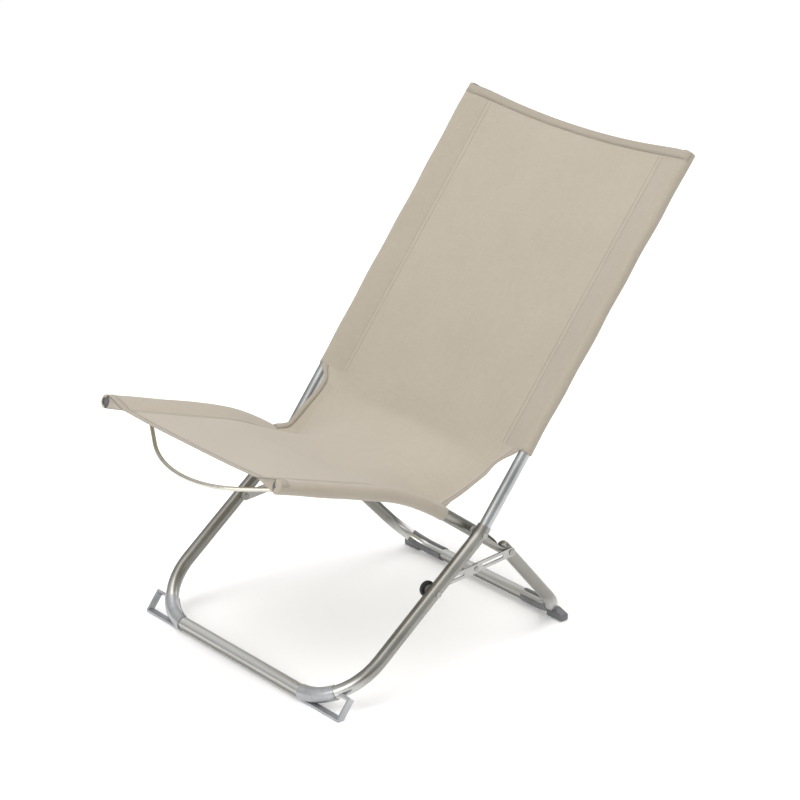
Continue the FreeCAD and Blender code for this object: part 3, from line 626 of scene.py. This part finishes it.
# The sleeves' ends are gathered over the caps, and the gap beside them is sewn shut.
# GATHER is how wide each stays open, by the row that it starts from and its side.
GATHER = {(0, -1): 0.92, (0, 1): 0.92, (ROWS - 1, -1): 0.60, (ROWS - 1, 1): 0.16}
TOP_RUN_ON, FRONT_RUN_ON = 0.0009, 0.0027    # how far the gathered ends run on past the hems
FIRST_TURN_IN = 0.985
for first, step, out, run_on in ((0, -1, B, TOP_RUN_ON), (ROWS - 1, 1, seat_at(TUBE_END)[1], FRONT_RUN_ON)):
    for side in (-1, 1):
        closed = GATHER[first, side]
        turns_in = ((0.45, FIRST_TURN_IN), (0.8, (2 + closed) / 3), (1.0, closed))
        seam, normal, x_seam = row_frame(first)
        tube = BACK_TUBE if first == 0 else SEAT_TUBE
        for count, (share, shrink) in enumerate(turns_in, 1):
            beyond = share * run_on
            row = first + step * count
            for j, (inward, level) in enumerate(teardrop(tube, first, side), 1):
                if BAND <= j <= BAND + WRAP:
                    spot = seam + beyond * out + shrink * level * normal
                    x = side * (x_seam + SEAM - shrink * inward)
                    put((row, side * (HALF + j)), (x, spot[0], spot[1]),
                        flat[grid[first, side * (HALF + j)]][0], float(run_rows[first]) + step * beyond, 1.0)
            ends = sorted((side * (HALF + BAND), side * (HALF + BAND + WRAP)))
            quads(min(row, row - step), *ends, True)
        for j in range(BAND):
            near = [grid[first, side * (HALF + back)] for back in (j, j + 1)]
            far = [grid[first, side * (HALF + 2 * BAND + WRAP - back)] for back in (j, j + 1)]
            web = [near[0], near[1], far[1], far[0]]
            faces.append(web if side * step > 0 else web[::-1])
            doubled.append(True)

points = np.array(verts)
normals = np.zeros_like(points)
for quad in faces:
    p = points[quad]
    across = np.cross(p[2] - p[0], p[3] - p[1])
    for index in quad:
        normals[index] += across
normals /= np.linalg.norm(normals, axis=1)[:, None]
if normals[grid[10, 0]] @ np.array([0.0, BN[0], BN[1]]) < 0:
    normals = -normals
    faces = [quad[::-1] for quad in faces]


def cloth_object(name, verts, faces, flat, materials, thickness, indices=None):
    """A sheet with its own flat coordinates, given a real thickness."""
    mesh = bpy.data.meshes.new(name)
    mesh.from_pydata([tuple(v) for v in verts], [], faces)
    attribute = mesh.attributes.new("cloth", "FLOAT_VECTOR", "POINT")
    attribute.data.foreach_set("vector", np.array(flat, dtype=np.float32).ravel())
    for material in materials:
        mesh.materials.append(material)
    if indices is not None:
        mesh.polygons.foreach_set("material_index", indices)
    mesh.polygons.foreach_set("use_smooth", [True] * len(mesh.polygons))
    mesh.update()
    thing = bpy.data.objects.new(name, mesh)
    scene.collection.objects.link(thing)
    shell = thing.modifiers.new("thickness", "SOLIDIFY")
    shell.thickness = thickness
    shell.offset = 0.0
    bpy.context.view_layer.update()
    final = bpy.data.meshes.new_from_object(thing.evaluated_get(bpy.context.evaluated_depsgraph_get()))
    thing.modifiers.clear()
    thing.data = final
    final.name = name
    return thing


def folding(thing):
    """Bakes the piece's placement into its mesh."""
    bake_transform(thing)
    return thing


# Sleeve faces take the darker canvas, a painted shade.
sling = cloth_object("sling", verts, faces, flat, [CLOTH, SLEEVE], CLOTH_THICK, [int(d) for d in doubled])
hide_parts("back_fabric", "seat_fabric")
folding(sling)


# ---------------------------------------------------------------- hems and stitching
HEM_LIFT = 0.00088                           # middle of the hem's cloth over the middle of the sling's
HEM_THICK = 0.0008
HEM_SUNK = 0.25                              # share of the lift left where a hem runs out on a tube


def strip(name, rows, columns):
    """Folded hem lying on the sling's front over a block of its grid, sinking in where it meets a tube."""
    index, out, out_flat, out_faces = {}, [], [], []
    for k in rows:
        for column in columns:
            source = grid[k, column]
            index[k, column] = len(out)
            inward = smooth((HALF + BAND + 4 - abs(column)) / 5)
            lift = HEM_LIFT * (HEM_SUNK + (1 - HEM_SUNK) * inward)
            out.append(points[source] + lift * normals[source])
            out_flat.append(flat[source])
    for k, k_next in zip(rows[:-1], rows[1:]):
        for column, column_next in zip(columns[:-1], columns[1:]):
            out_faces.append([index[k, column], index[k_next, column],
                              index[k_next, column_next], index[k, column_next]])
    return folding(cloth_object(name, out, out_faces, out_flat, [HEM], HEM_THICK))


whole = list(range(-HALF - BAND - 5, HALF + BAND + 6))
hems = [
    strip("top_hem", list(range(0, len(EDGE_ROWS))), whole),
    strip("front_hem", list(range(ROWS - len(EDGE_ROWS), ROWS)), whole),
]
for side, name in ((-1, "right"), (1, "left")):
    columns = sorted(side * (HALF + BAND - back) for back in (0, 1, 2))
    hems.append(strip("side_hem_" + name, list(range(SLEEVE_A, SLEEVE_B + 1)), columns))


STITCH_PITCH = 0.0036
STITCH_ENDS = (0.0005, 0.0031)               # where in its pitch a stitch starts and ends
THREAD_RADIUS = 0.00028
THREAD_CROWN = 0.0002                        # a stitch stands up this much in its middle
THREAD_SIDES = 6
STITCH_RINGS = ((0.0, 0.45), (0.25, 1.0), (0.75, 1.0), (1.0, 0.45))      # share of its length, of its radius
ON_CLOTH, ON_HEM = 0.0006, 0.0014            # thread over the middle of the sling's cloth


def stitch_line(keys, lift):
    """The two ends of each stitch along a row of grid points, each with the cloth's normal."""
    line = np.array([points[grid[key]] + lift * normals[grid[key]] for key in keys])
    up = np.array([normals[grid[key]] for key in keys])
    steps = np.linalg.norm(np.diff(line, axis=0), axis=1)
    along = np.concatenate([[0], np.cumsum(steps)])
    count = int(along[-1] / STITCH_PITCH)
    found = []
    for n in range(count):
        ends = []
        for shift in STITCH_ENDS:
            want = min(STITCH_PITCH * n + shift, along[-1])
            ends.append([np.array([np.interp(want, along, block[:, axis]) for axis in range(3)])
                         for block in (line, up)])
        found.append(ends)
    return found


stitch_keys = []
for side in (-1, 1):
    for shift in (0, 1):
        column = side * (HALF - shift)
        stitch_keys.append(([(k, column) for k in range(0, SLEEVE_A + 1)], ON_CLOTH))
        stitch_keys.append(([(k, column) for k in range(SLEEVE_B, ROWS)], ON_CLOTH))
    column = side * (HALF + BAND - 2)
    stitch_keys.append(([(k, column) for k in range(SLEEVE_A, SLEEVE_B + 1)], ON_HEM))
stitch_keys.append(([(4, column) for column in whole], ON_HEM))
stitch_keys.append(([(ROWS - 5, column) for column in whole], ON_HEM))
thread_verts, thread_faces = [], []
for keys, lift in stitch_keys:
    for (start, up), (end, _) in stitch_line(keys, lift):
        along = (end - start) / np.linalg.norm(end - start)
        across = np.cross(along, up)
        base = len(thread_verts)
        for share, size in STITCH_RINGS:
            centre = start + share * (end - start) + THREAD_CROWN * math.sin(math.pi * share) * up
            for side in range(THREAD_SIDES):
                turn = side * 2 * math.pi / THREAD_SIDES
                spoke = math.cos(turn) * across + math.sin(turn) * up
                thread_verts.append(centre + THREAD_RADIUS * size * spoke)
        for ring in range(len(STITCH_RINGS) - 1):
            for side in range(THREAD_SIDES):
                a = base + THREAD_SIDES * ring + side
                b = base + THREAD_SIDES * ring + (side + 1) % THREAD_SIDES
                thread_faces.append((a, b, b + THREAD_SIDES, a + THREAD_SIDES))
        last_ring = base + THREAD_SIDES * (len(STITCH_RINGS) - 1)
        thread_faces.append(tuple(base + side for side in reversed(range(THREAD_SIDES))))
        thread_faces.append(tuple(last_ring + side for side in range(THREAD_SIDES)))
thread_mesh = bpy.data.meshes.new("stitching")
thread_mesh.from_pydata([tuple(v) for v in thread_verts], [], thread_faces)
thread_mesh.materials.append(THREAD)
thread_mesh.polygons.foreach_set("use_smooth", [True] * len(thread_mesh.polygons))
stitching = bpy.data.objects.new("stitching", thread_mesh)
scene.collection.objects.link(stitching)
folding(stitching)
